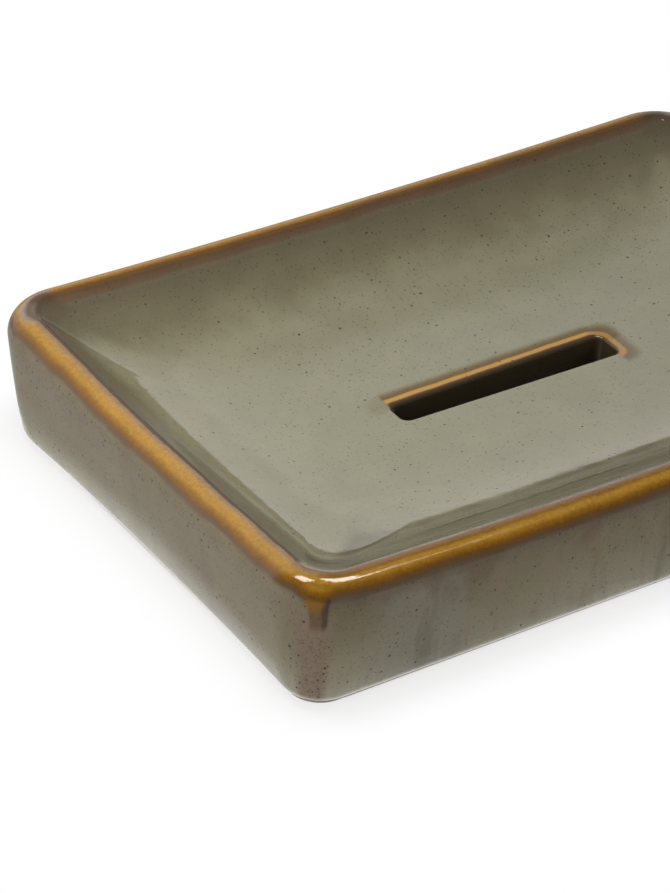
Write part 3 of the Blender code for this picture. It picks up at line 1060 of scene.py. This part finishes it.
    def _bare(self, bench: SkinBench) -> Socket:
        """Return 1 where the clay is bare, with an uneven glaze line."""
        edge = bench.plus(bench.attribute(SkinMark.BARE.value), bench.sway(bench.place, 4.0 * MM))
        return bench.step(edge, 0.45, 0.55)

    def _roughness(self, bench: SkinBench, bare: Socket) -> Socket:
        """Return the roughness: near glass on the glaze, dry on the clay."""
        return bench.plus(bench.blotched(bench.place, self.sheen), bench.times(bare, self.clay_dryness))

    def _bump(self, bench: SkinBench, bare: Socket) -> Socket:
        """Return the normal: a faint orange peel on the glaze, pits on the crown, grit on the clay."""
        pitted = bench.step(bench.x, -44.0, -30.0, self.pit_height)
        crown = bench.band(bench.reach, (-3.5, -2.5), (1.5, 0.5))
        pits = bench.times(bench.noise(bench.place, 0.4 * MM), crown, pitted)
        peel = bench.times(bench.noise(bench.place, 2.2 * MM, 1.0), self.peel_height)
        grit = bench.times(bench.noise(bench.place, 0.35 * MM, 3.0, 0.7), self.grit_height, bare)
        inputs = {"Height": bench.plus(peel, pits, grit), "Strength": 1.0, "Distance": 1.0}
        return bench.add("ShaderNodeBump", inputs).outputs["Normal"]


@dataclass(frozen=True)
class ClearSilicone:
    """Clear silicone, with the faint haze of a moulded pad."""

    colour: Colour = linear(226, 228, 222)
    haze_colour: Colour = linear(205, 208, 200)
    refraction: float = 1.41
    transmission: float = 0.8

    def build(self) -> bpy.types.Material:
        """Return the material."""
        material = bpy.data.materials.new("clear_silicone")
        material.use_nodes = True
        bench = NodeBench(material.node_tree)
        shader = material.node_tree.nodes["Principled BSDF"]
        place = bench.add("ShaderNodeTexCoord").outputs["Object"]
        haze = bench.noise(place, 0.8 * MM, 3.0)
        tone = bench.tint(bench.step(haze, 0.3, 0.7), self.colour, self.haze_colour)
        bench.feed(shader.inputs["Base Color"], tone)
        bench.feed(shader.inputs["Roughness"], bench.step(haze, 0.3, 0.7, (0.18, 0.32)))
        shader.inputs["IOR"].default_value = self.refraction
        shader.inputs["Transmission Weight"].default_value = self.transmission
        return material


@dataclass
class Pad:
    """A clear anti-slip pad, in a packed pad's place.

    Attributes:
        node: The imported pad's name.
        place: Its middle.
        radius: Its radius.
        bottom: The height of its underside.
        top: The height of its top.
    """

    node: str
    place: Vector
    radius: float
    bottom: float
    top: float
    edge_round: float = 0.35 * MM
    round_steps: int = 6
    quarter_steps: int = 16
    box_margin: float = 0.002 * MM

    @classmethod
    def from_frame(cls, node: str) -> Pad:
        """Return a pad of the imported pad's place and size."""
        low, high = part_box(node)
        middle = (low + high) / 2.0
        return cls(node, Vector((middle.x, middle.y, 0.0)), (high.x - low.x) / 2.0, low.z, high.z)

    def _ring(self, radius: float, height: float) -> Ring:
        """Return a round ring."""
        return Ring(radius, radius, height, radius)

    def build(self, tree: SweepTree, finish: bpy.types.Material) -> bpy.types.Object:
        """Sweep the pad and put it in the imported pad's place.

        Args:
            tree: The tree that sweeps skins.
            finish: The pad's material.

        Returns:
            The pad's object.
        """
        radius = self.radius - self.box_margin
        rings = [self._ring(0.0, self.bottom), self._ring((radius - self.edge_round) / 2.0, self.bottom)]
        for along, off in arc(self.edge_round, 0.0, math.pi / 2.0, self.round_steps):
            rings.append(self._ring(radius - self.edge_round + along, self.bottom + off))
        rings += [self._ring(radius, self.top), self._ring(0.0, self.top)]
        section = section_guide(f"{self.node}_section", rings, 0, 0)
        plan = PlanGuide(self.quarter_steps, 1, 1, radius, 0.0, 0.0).build()
        pad = tree.sweep(f"clear_{self.node}", section, plan, finish, closed=False, shift=self.place)
        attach(pad, ROOT_BODY)
        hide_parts(self.node)
        return pad


@dataclass
class DishBody:
    """The glazed stoneware body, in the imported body's place.

    Attributes:
        length: The rim's length.
        crown: The rim's highest point.
        stand: The foot's height above the floor.
        half_width_bowed: Half of the width, bow included.
    """

    length: float
    crown: float
    stand: float
    half_width_bowed: float
    corner_radius: float = 10.0 * MM
    base_corner_lean: float = 2.6 * MM
    wall_draft: float = 1.2 * MM
    base_round: float = 2.0 * MM
    base_sweep: float = math.radians(75.0)
    foot_height: float = 0.5 * MM
    rim_outer_round: float = 3.7 * MM
    rim_inner_round: float = 2.2 * MM
    rim_inner_sweep: float = math.radians(38.0)
    rim_sag: float = 0.9 * MM
    long_rim_bow: float = 0.3 * MM
    short_base_bow: float = 0.8 * MM
    basin_depth: float = 9.9 * MM
    basin_corner_ease: float = 9.0 * MM
    end_hollow: float = 0.65 * MM
    end_hollow_run: float = 0.38
    floor_thickness: float = 4.5 * MM
    slot_length: float = 39.2 * MM
    slot_width: float = 4.7 * MM
    slot_flare: float = 0.3 * MM
    slot_corner_radius: float = 1.2 * MM
    slot_edge_round: float = 0.7 * MM
    recess_inset: float = 9.0 * MM
    recess_draft: float = 1.0 * MM
    recess_round: float = 3.0 * MM
    recess_corner_radius: float = 12.0 * MM
    socket_depth: float = 1.0 * MM
    socket_side_gap: float = 0.3 * MM
    cut_overrun: float = 1.0 * MM
    hand_wobble: float = 0.12 * MM
    wobble_size: float = 45.0 * MM
    inner_corner_share: float = 0.25
    ring_crowding_power: float = 1.4
    box_margin: float = 0.005 * MM
    round_steps: int = 14
    wall_steps: int = 14
    basin_steps: int = 60
    slot_round_steps: int = 8
    underside_steps: int = 14
    corner_steps: int = 20
    long_steps: int = 70
    short_steps: int = 50
    glaze: StonewareGlaze = field(default_factory=StonewareGlaze)

    @classmethod
    def from_frame(cls) -> DishBody:
        """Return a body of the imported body's length, width and height."""
        low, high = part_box(BODY_NODE)
        return cls(length=high.x - low.x, crown=high.z, stand=low.z, half_width_bowed=high.y)

    @property
    def half_length(self) -> float:
        """Half of the length at the rim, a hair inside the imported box."""
        return self.length / 2.0 - self.box_margin

    @property
    def half_width(self) -> float:
        """Half of the width at the rim's corners, where the sides don't bow."""
        wall_top = self.crown - self.rim_outer_round
        return self.half_width_bowed - self.box_margin - self.long_rim_bow * self.climb_share(wall_top)

    @property
    def slot_height(self) -> float:
        """The height of the basin's floor at the slot."""
        return self.crown - self.basin_depth

    @property
    def basin_inset(self) -> float:
        """How far in from the outline the rim hands over to the basin."""
        return self.rim_outer_round + self.rim_inner_round * math.sin(self.rim_inner_sweep)

    @property
    def basin_top(self) -> float:
        """The height where the rim hands over to the basin."""
        return self.crown - self.rim_inner_round * (1.0 - math.cos(self.rim_inner_sweep))

    @property
    def basin_reach(self) -> float:
        """How far the basin runs from the rim to the slot's edge, across the dish."""
        return self.half_width - self.basin_inset - self.slot_width / 2.0 - self.slot_edge_round

    def climb_share(self, height: float) -> float:
        """Return how far a height lies up the body, 0 at the foot and 1 at the crown."""
        return (height - self.stand) / (self.crown - self.stand)

    def set_in_radius(self, radius: float, inset: float) -> float:
        """Return a corner's radius where its outline is set in, never less than a share of it."""
        return max(radius - inset, radius * self.inner_corner_share)

    def _outer(self, inset: float, height: float, bare: float = 0.0) -> Ring:
        """Return a ring of the outer wall or the rim."""
        climb = self.climb_share(height)
        return Ring(
            self.half_length - inset,
            self.half_width - inset,
            height,
            self.set_in_radius(self.corner_radius, inset),
            lean=self.base_corner_lean * (1.0 - climb) ** 2,
            climb_share=climb,
            base_share=1.0 - climb,
            bare=bare,
        )

    def _foot_and_wall(self) -> list[Ring]:
        """Return the rings from the foot's outer edge up to the rim's round."""
        steps = arc(self.base_round, self.base_sweep, 0.0, self.round_steps)
        foot_rise, foot_inset = steps[0]
        round_height = self.stand + self.foot_height + foot_rise
        rings = [self._outer(self.wall_draft + foot_inset, self.stand, bare=1.0)]
        for index, (along, off) in enumerate(steps):
            rings.append(self._outer(self.wall_draft + off, round_height - along, bare=float(index == 0)))
        wall_top = self.crown - self.rim_outer_round
        for share in even_shares(self.wall_steps)[1:-1]:
            rings.append(self._outer(self.wall_draft * (1.0 - share), mix(round_height, wall_top, share)))
        return rings

    def _rim(self) -> tuple[list[Ring], int]:
        """Return the rim's rings, and which of them is the crown."""
        wall_top = self.crown - self.rim_outer_round
        outer = arc(self.rim_outer_round, 0.0, math.pi / 2.0, self.round_steps)
        inner = arc(self.rim_inner_round, 0.0, self.rim_inner_sweep, self.round_steps)[1:]
        rings = [self._outer(off, wall_top + along) for along, off in outer]
        rings += [self._outer(self.rim_outer_round + along, self.crown - off) for along, off in inner]
        return rings, len(outer) - 1

    def _rise_share(self, run_share: float) -> float:
        """Return the share of the basin's fall still left, a share of the way in from the rim."""
        fall = self.basin_top - self.slot_height
        return (1.0 - run_share) ** (math.tan(self.rim_inner_sweep) * self.basin_reach / fall)

    def _basin_height(self, run_share: float) -> float:
        """Return the basin's height a share of the way from the rim to the slot."""
        return mix(self.slot_height, self.basin_top, self._rise_share(run_share))

    def _basin(self) -> list[Ring]:
        """Return the rings that fall from the rim to the slot's edge."""
        rings = []
        rim_radius = self.set_in_radius(self.corner_radius, self.basin_inset)
        slot_radius = self.slot_corner_radius + self.slot_edge_round
        climb = self.climb_share(self.basin_top)
        for step_share in even_shares(self.basin_steps)[1:]:
            run = step_share**self.ring_crowding_power
            middle_share = (4.0 * run * (1.0 - run)) ** 2
            hollow = self.end_hollow * math.sin(math.pi * min(run / self.end_hollow_run, 1.0)) ** 2
            half_x = mix(self.half_length - self.basin_inset, self.slot_length / 2.0 + self.slot_edge_round, run)
            rings.append(
                Ring(
                    half_x + hollow,
                    mix(self.half_width - self.basin_inset, self.slot_width / 2.0 + self.slot_edge_round, run),
                    self._basin_height(run),
                    mix(rim_radius, slot_radius, run) + self.basin_corner_ease * middle_share,
                    climb_share=climb * self._rise_share(run),
                    flare_share=run,
                )
            )
        return rings

    def _slot(self) -> list[Ring]:
        """Return the rings that round over the slot's edge and pass through the floor."""
        steps = arc(self.slot_edge_round, 0.0, math.pi / 2.0, self.slot_round_steps)[1:]
        rings = [self._slot_ring(self.slot_edge_round - along, self.slot_height - off) for along, off in steps]
        return [*rings, self._slot_ring(0.0, self.slot_height - self.floor_thickness)]

    def _slot_ring(self, grow: float, height: float) -> Ring:
        """Return a ring of the slot, grown outwards."""
        return Ring(
            self.slot_length / 2.0 + grow,
            self.slot_width / 2.0 + grow,
            height,
            self.slot_corner_radius + grow,
            flare_share=1.0,
        )

    def _underside(self) -> list[Ring]:
        """Return the rings of the hollow underside, from the slot out to the foot."""
        rings = []
        roof_inset = self.recess_inset + self.recess_draft + self.recess_round
        roof_run = (roof_inset - self.basin_inset) / self.basin_reach
        roof_radius = self.set_in_radius(self.recess_corner_radius, self.recess_round)
        for share in even_shares(self.underside_steps)[1:]:
            rings.append(
                Ring(
                    mix(self.slot_length / 2.0, self.half_length - roof_inset, share),
                    mix(self.slot_width / 2.0, self.half_width - roof_inset, share),
                    self._basin_height(mix(1.0, roof_run, share)) - self.floor_thickness,
                    mix(self.slot_corner_radius, roof_radius, share),
                    flare_share=1.0 - share,
                )
            )
        roof_height = self._basin_height(roof_run) - self.floor_thickness
        for out, drop in arc(self.recess_round, 0.0, math.pi / 2.0, self.round_steps)[1:]:
            rings.append(
                Ring(
                    self.half_length - roof_inset + out,
                    self.half_width - roof_inset + out,
                    roof_height - drop,
                    roof_radius + out,
                )
            )
        rings.append(
            Ring(
                self.half_length - self.recess_inset,
                self.half_width - self.recess_inset,
                self.stand,
                self.recess_corner_radius + self.recess_draft,
                bare=1.0,
            )
        )
        return rings

    def build(self, tree: SweepTree, sockets: SocketTree, pad: Pad) -> bpy.types.Object:
        """Sweep the skin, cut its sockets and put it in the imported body's place.

        Args:
            tree: The tree that sweeps skins.
            sockets: The tree that cuts sockets.
            pad: The back right pad, whose socket the others mirror.

        Returns:
            The dish's object.
        """
        finish = self.glaze.build()
        wall = self._foot_and_wall()
        rim, crown_index = self._rim()
        basin = self._basin()
        rings = wall + rim + basin + self._slot() + self._underside()
        crown_index += len(wall)
        slot_index = len(wall) + len(rim) + len(basin) + self.slot_round_steps // 2
        section = section_guide("dish_section", rings, crown_index, slot_index)
        plan = PlanGuide(
            self.corner_steps,
            self.long_steps,
            self.short_steps,
            self.corner_radius,
            self.half_length - self.corner_radius,
            self.half_width - self.corner_radius,
        ).build()
        dish = tree.sweep(
            "stoneware_dish",
            section,
            plan,
            finish,
            rim_sag=self.rim_sag,
            long_rim_bow=self.long_rim_bow,
            short_base_bow=self.short_base_bow,
            slot_flare=self.slot_flare,
            hand_wobble=self.hand_wobble,
            wobble_size=self.wobble_size,
        )
        dish = sockets.cut(
            dish,
            pad.place,
            finish,
            radius=pad.radius + self.socket_side_gap,
            base=self.stand,
            depth=self.socket_depth,
            overrun=self.cut_overrun,
        )
        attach(dish, ROOT_BODY)
        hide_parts(BODY_NODE)
        return dish


@dataclass
class PhotoCamera:
    """The camera, with the view that the photograph was taken from.

    Attributes:
        frame_width: The photograph's width in pixels.
        frame_height: Its height in pixels.
        focal: The focal length in pixels.
        pitch: How far the view looks down.
        yaw: How far the camera stands round to the left of the front.
        roll: How far it is tipped over.
        aim: The point that aim_pixel shows.
        aim_pixel: Where the photograph shows the aim.
        aim_depth: The aim's distance in front of the camera's plane.
        sensor: The sensor's longer side in millimetres.
        clip: How near and how far the camera sees.
    """

    aim: Vector
    frame_width: float = 670.0
    frame_height: float = 893.0
    focal: float = 4049.8
    pitch: float = math.radians(33.91)
    yaw: float = math.radians(34.69)
    roll: float = math.radians(2.70)
    aim_pixel: Span = (509.46, 322.21)
    aim_depth: float = 606.69 * MM
    sensor: float = 36.0
    clip: Span = (10.0 * MM, 20.0)

    def build(self) -> bpy.types.Object:
        """Return the camera, made the scene's own."""
        level_share = math.cos(self.pitch)
        back = Vector((-math.sin(self.yaw) * level_share, -math.cos(self.yaw) * level_share, math.sin(self.pitch)))
        level = Vector((0.0, 0.0, 1.0)).cross(back).normalized()
        above = back.cross(level)
        right = math.cos(self.roll) * level + math.sin(self.roll) * above
        up = math.cos(self.roll) * above - math.sin(self.roll) * level
        across = (self.aim_pixel[0] - self.frame_width / 2.0) / self.focal
        rise = (self.frame_height / 2.0 - self.aim_pixel[1]) / self.focal
        eye = self.aim - self.aim_depth * (across * right + rise * up - back)
        data = bpy.data.cameras.new("photo_camera")
        data.sensor_width = self.sensor
        data.lens = self.focal / self.frame_height * self.sensor
        data.clip_start, data.clip_end = self.clip
        camera = placed("photo_camera", data)
        turn = Matrix((right, up, back)).transposed()
        camera.matrix_world = Matrix.Translation(eye) @ turn.to_4x4()
        bpy.context.scene.camera = camera
        return camera


@dataclass(frozen=True)
class Softbox:
    """A flat lamp that hangs level and shines down.

    Attributes:
        name: The lamp's name.
        middle: Where it hangs, from the middle of the dish's rim.
        width: Its size along X.
        depth: Its size along Y.
        radiance: How bright its face is, where 1 is a white wall.
        mirrored: Whether glossy surfaces show it. If not, it faces the dish and lights matt colour.
    """

    name: str
    middle: tuple[float, float, float]
    width: float
    depth: float
    radiance: float
    mirrored: bool = True

    def build(self, centre: Vector) -> bpy.types.Object:
        """Return the lamp, hung from a centre."""
        data = bpy.data.lights.new(self.name, "AREA")
        data.shape = "RECTANGLE"
        data.size = self.width
        data.size_y = self.depth
        data.energy = self.radiance * math.pi * self.width * self.depth
        lamp = placed(self.name, data)
        lamp.location = centre + Vector(self.middle)
        if not self.mirrored:
            lamp.rotation_euler = (centre - lamp.location).to_track_quat("-Z", "Y").to_euler()
        lamp.visible_camera = False
        lamp.visible_glossy = self.mirrored
        lamp.visible_diffuse = not self.mirrored
        return lamp


@dataclass
class Studio:
    """Plain white floor, a bright backdrop behind the dish, and lamps.

    The spans on the floor are steps of the distance from the dish's outline,
    below zero under the dish.

    Attributes:
        centre: The middle of the dish's rim.
        half_size: Half of the dish's length and width.
        corner_radius: Its corners' radius.
        floor_radius: The floor's radius.
        floor_sides: The count of its sides.
        paper: How much light it gives back.
        white_from: Where it starts to be seen as white.
        mirrored_white_from: Where its mirror image does.
        contact_share: How white it is where the dish's shadow starts.
        shadow_reach: Where the shadow starts and ends.
        mirrored_near: How bright its mirror image is beside the dish.
        mirrored_floor: How bright it is further out.
        mirrored_fade: Where the one gives way to the other.
        backdrop_azimuth: The direction of the backdrop's middle.
        backdrop_elevation: Its height.
        backdrop_reach: How far off it the backdrop is full and gone.
        camera_side: The cosines off it where the camera's side starts and is full.
        dim_level: How bright the surround mirrors beside the backdrop.
        camera_side_level: How bright it mirrors on the camera's side.
        soft_level: How bright it lights matt colour.
        softboxes: The lamps.
    """

    centre: Vector
    half_size: Vector
    corner_radius: float
    floor_radius: float = 1.5
    floor_sides: int = 96
    paper: Colour = (0.9, 0.9, 0.9)
    white_from: Span = (-4.0 * MM, -3.2 * MM)
    mirrored_white_from: Span = (-7.0 * MM, -5.0 * MM)
    contact_share: float = 0.76
    shadow_reach: Span = (-2.7 * MM, 6.5 * MM)
    mirrored_near: float = 1.5
    mirrored_floor: float = 0.45
    mirrored_fade: Span = (-2.0 * MM, 2.5 * MM)
    backdrop_azimuth: float = math.radians(90.0)
    backdrop_elevation: float = math.radians(10.0)
    backdrop_reach: Span = (math.radians(44.0), math.radians(56.0))
    camera_side: Span = (-0.1, -0.5)
    dim_level: float = 0.22
    camera_side_level: float = 0.10
    soft_level: float = 0.55
    softboxes: tuple[Softbox, ...] = (
        Softbox("rim_strip", (-0.001, -0.018, 0.2), width=0.088, depth=0.064, radiance=14.0),
        Softbox("rim_strip_end", (0.0555, -0.040, 0.2), width=0.023, depth=0.020, radiance=12.0),
        Softbox("rim_glint", (0.082, -0.050, 0.2), width=0.028, depth=0.008, radiance=5.0),
        Softbox("corner_window", (-0.122, 0.014, 0.2), width=0.070, depth=0.052, radiance=15.0),
        Softbox("key", (0.77, -0.28, 0.57), width=0.5, depth=0.5, radiance=1.5, mirrored=False),
        Softbox("near_key", (-0.08, 0.01, 0.095), width=0.03, depth=0.06, radiance=12.5, mirrored=False),
        Softbox("left_fill", (-0.8, 0.1, 0.12), width=0.5, depth=0.5, radiance=1.1, mirrored=False),
    )

    def build(self) -> None:
        """Build the floor, the surround and the lamps."""
        self._floor()
        self._surround()
        for softbox in self.softboxes:
            softbox.build(self.centre)
        bpy.context.scene.view_settings.view_transform = "Standard"

    def _floor(self) -> bpy.types.Object:
        """Return the round white floor, which shows the dish's shadow near it."""
        angles = [math.tau * share for share in even_shares(self.floor_sides)[:-1]]
        rim = [self.floor_radius * Vector((math.cos(angle), math.sin(angle), 0.0)) for angle in angles]
        mesh = bpy.data.meshes.new("floor")
        mesh.from_pydata(rim, [], [range(self.floor_sides)])
        mesh.materials.append(self._paper())
        floor = placed("floor", mesh)
        return floor

    def _paper(self) -> bpy.types.Material:
        """Return the floor's white paper, overexposed to plain white away from the dish."""
        material = bpy.data.materials.new("white_paper")
        material.use_nodes = True
        tree = material.node_tree
        tree.nodes.clear()
        bench = NodeBench(tree)
        rays = bench.add("ShaderNodeLightPath").outputs
        glossy = rays["Is Glossy Ray"]
        seen = bench.most(rays["Is Camera Ray"], glossy, rays["Is Transmission Ray"])
        place = bench.add("ShaderNodeTexCoord").outputs["Object"]
        inner = self.half_size - Vector((self.corner_radius, self.corner_radius, 0.0))
        away = bench.vector("SUBTRACT", bench.vector("ABSOLUTE", place), inner)
        away = bench.vector("MAXIMUM", away, (0.0, 0.0, 0.0))
        gap = bench.minus(bench.measure("LENGTH", away), self.corner_radius)
        shadow = bench.step(gap, *self.shadow_reach, (self.contact_share, 1.0))
        glare = bench.times(bench.step(gap, *self.white_from), shadow)
        glare = bench.most(glare, bench.times(glossy, bench.step(gap, *self.mirrored_white_from)))
        lit = bench.out("ShaderNodeBsdfDiffuse", {"Color": (*self.paper, 1.0)})
        mirrored = bench.step(gap, *self.mirrored_fade, (self.mirrored_near, self.mirrored_floor))
        strength = bench.minus(1.0, bench.times(glossy, bench.minus(1.0, mirrored)))
        white = bench.out("ShaderNodeEmission", {"Color": (1.0, 1.0, 1.0, 1.0), "Strength": strength})
        shown = bench.out("ShaderNodeMixShader", {0: bench.times(seen, glare), 1: lit, 2: white})
        bench.add("ShaderNodeOutputMaterial", {"Surface": shown})
        return material

    def _surround(self) -> None:
        """Give the scene a world that is bright behind the dish and dim elsewhere."""
        world = bpy.data.worlds.new("white_surround")
        world.use_nodes = True
        bpy.context.scene.world = world
        tree = world.node_tree
        tree.nodes.clear()
        bench = NodeBench(tree)
        rays = bench.add("ShaderNodeLightPath").outputs
        direction = bench.add("ShaderNodeTexCoord").outputs["Generated"]
        azimuth, elevation = self.backdrop_azimuth, self.backdrop_elevation
        level = math.cos(elevation)
        towards = (math.cos(azimuth) * level, math.sin(azimuth) * level, math.sin(elevation))
        along = bench.measure("DOT_PRODUCT", direction, towards)
        bright_cosine, dim_cosine = (math.cos(reach) for reach in self.backdrop_reach)
        backdrop = bench.step(along, dim_cosine, bright_cosine)
        behind = bench.step(along, *self.camera_side)
        dim = bench.tint(behind, (self.dim_level,) * 3, (self.camera_side_level,) * 3)
        mirrored = bench.tint(backdrop, dim, (1.0, 1.0, 1.0))
        lit = bench.tint(rays["Is Glossy Ray"], (self.soft_level,) * 3, mirrored)
        shown = bench.tint(rays["Is Camera Ray"], lit, (1.0, 1.0, 1.0))
        background = bench.out("ShaderNodeBackground", {"Color": shown, "Strength": 1.0})
        bench.add("ShaderNodeOutputWorld", {"Surface": background})


def report(pieces: Iterable[bpy.types.Object]) -> None:
    """Log each finished piece with its count of triangles."""
    for piece in pieces:
        piece.data.calc_loop_triangles()
        LOG.info("%s: %d triangles", piece.name, len(piece.data.loop_triangles))


def main() -> None:
    """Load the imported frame, dress its pieces and set the scene."""
    logging.basicConfig(level=logging.INFO, format="%(name)s: %(message)s")
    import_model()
    body = DishBody.from_frame()
    PhotoCamera(aim=Vector((0.0, 0.0, body.crown))).build()
    tree = SweepTree("ring_sweep")
    pads = [Pad.from_frame(node) for node in PAD_NODES]
    dish = body.build(tree, SocketTree("foot_sockets"), pads[-1])
    silicone = ClearSilicone().build()
    report([dish, *(pad.build(tree, silicone) for pad in pads)])
    Studio(
        centre=Vector((0.0, 0.0, body.crown)),
        half_size=Vector((body.length / 2.0, body.half_width_bowed, 0.0)),
        corner_radius=body.corner_radius,
    ).build()


if __name__ == "__main__":
    main()
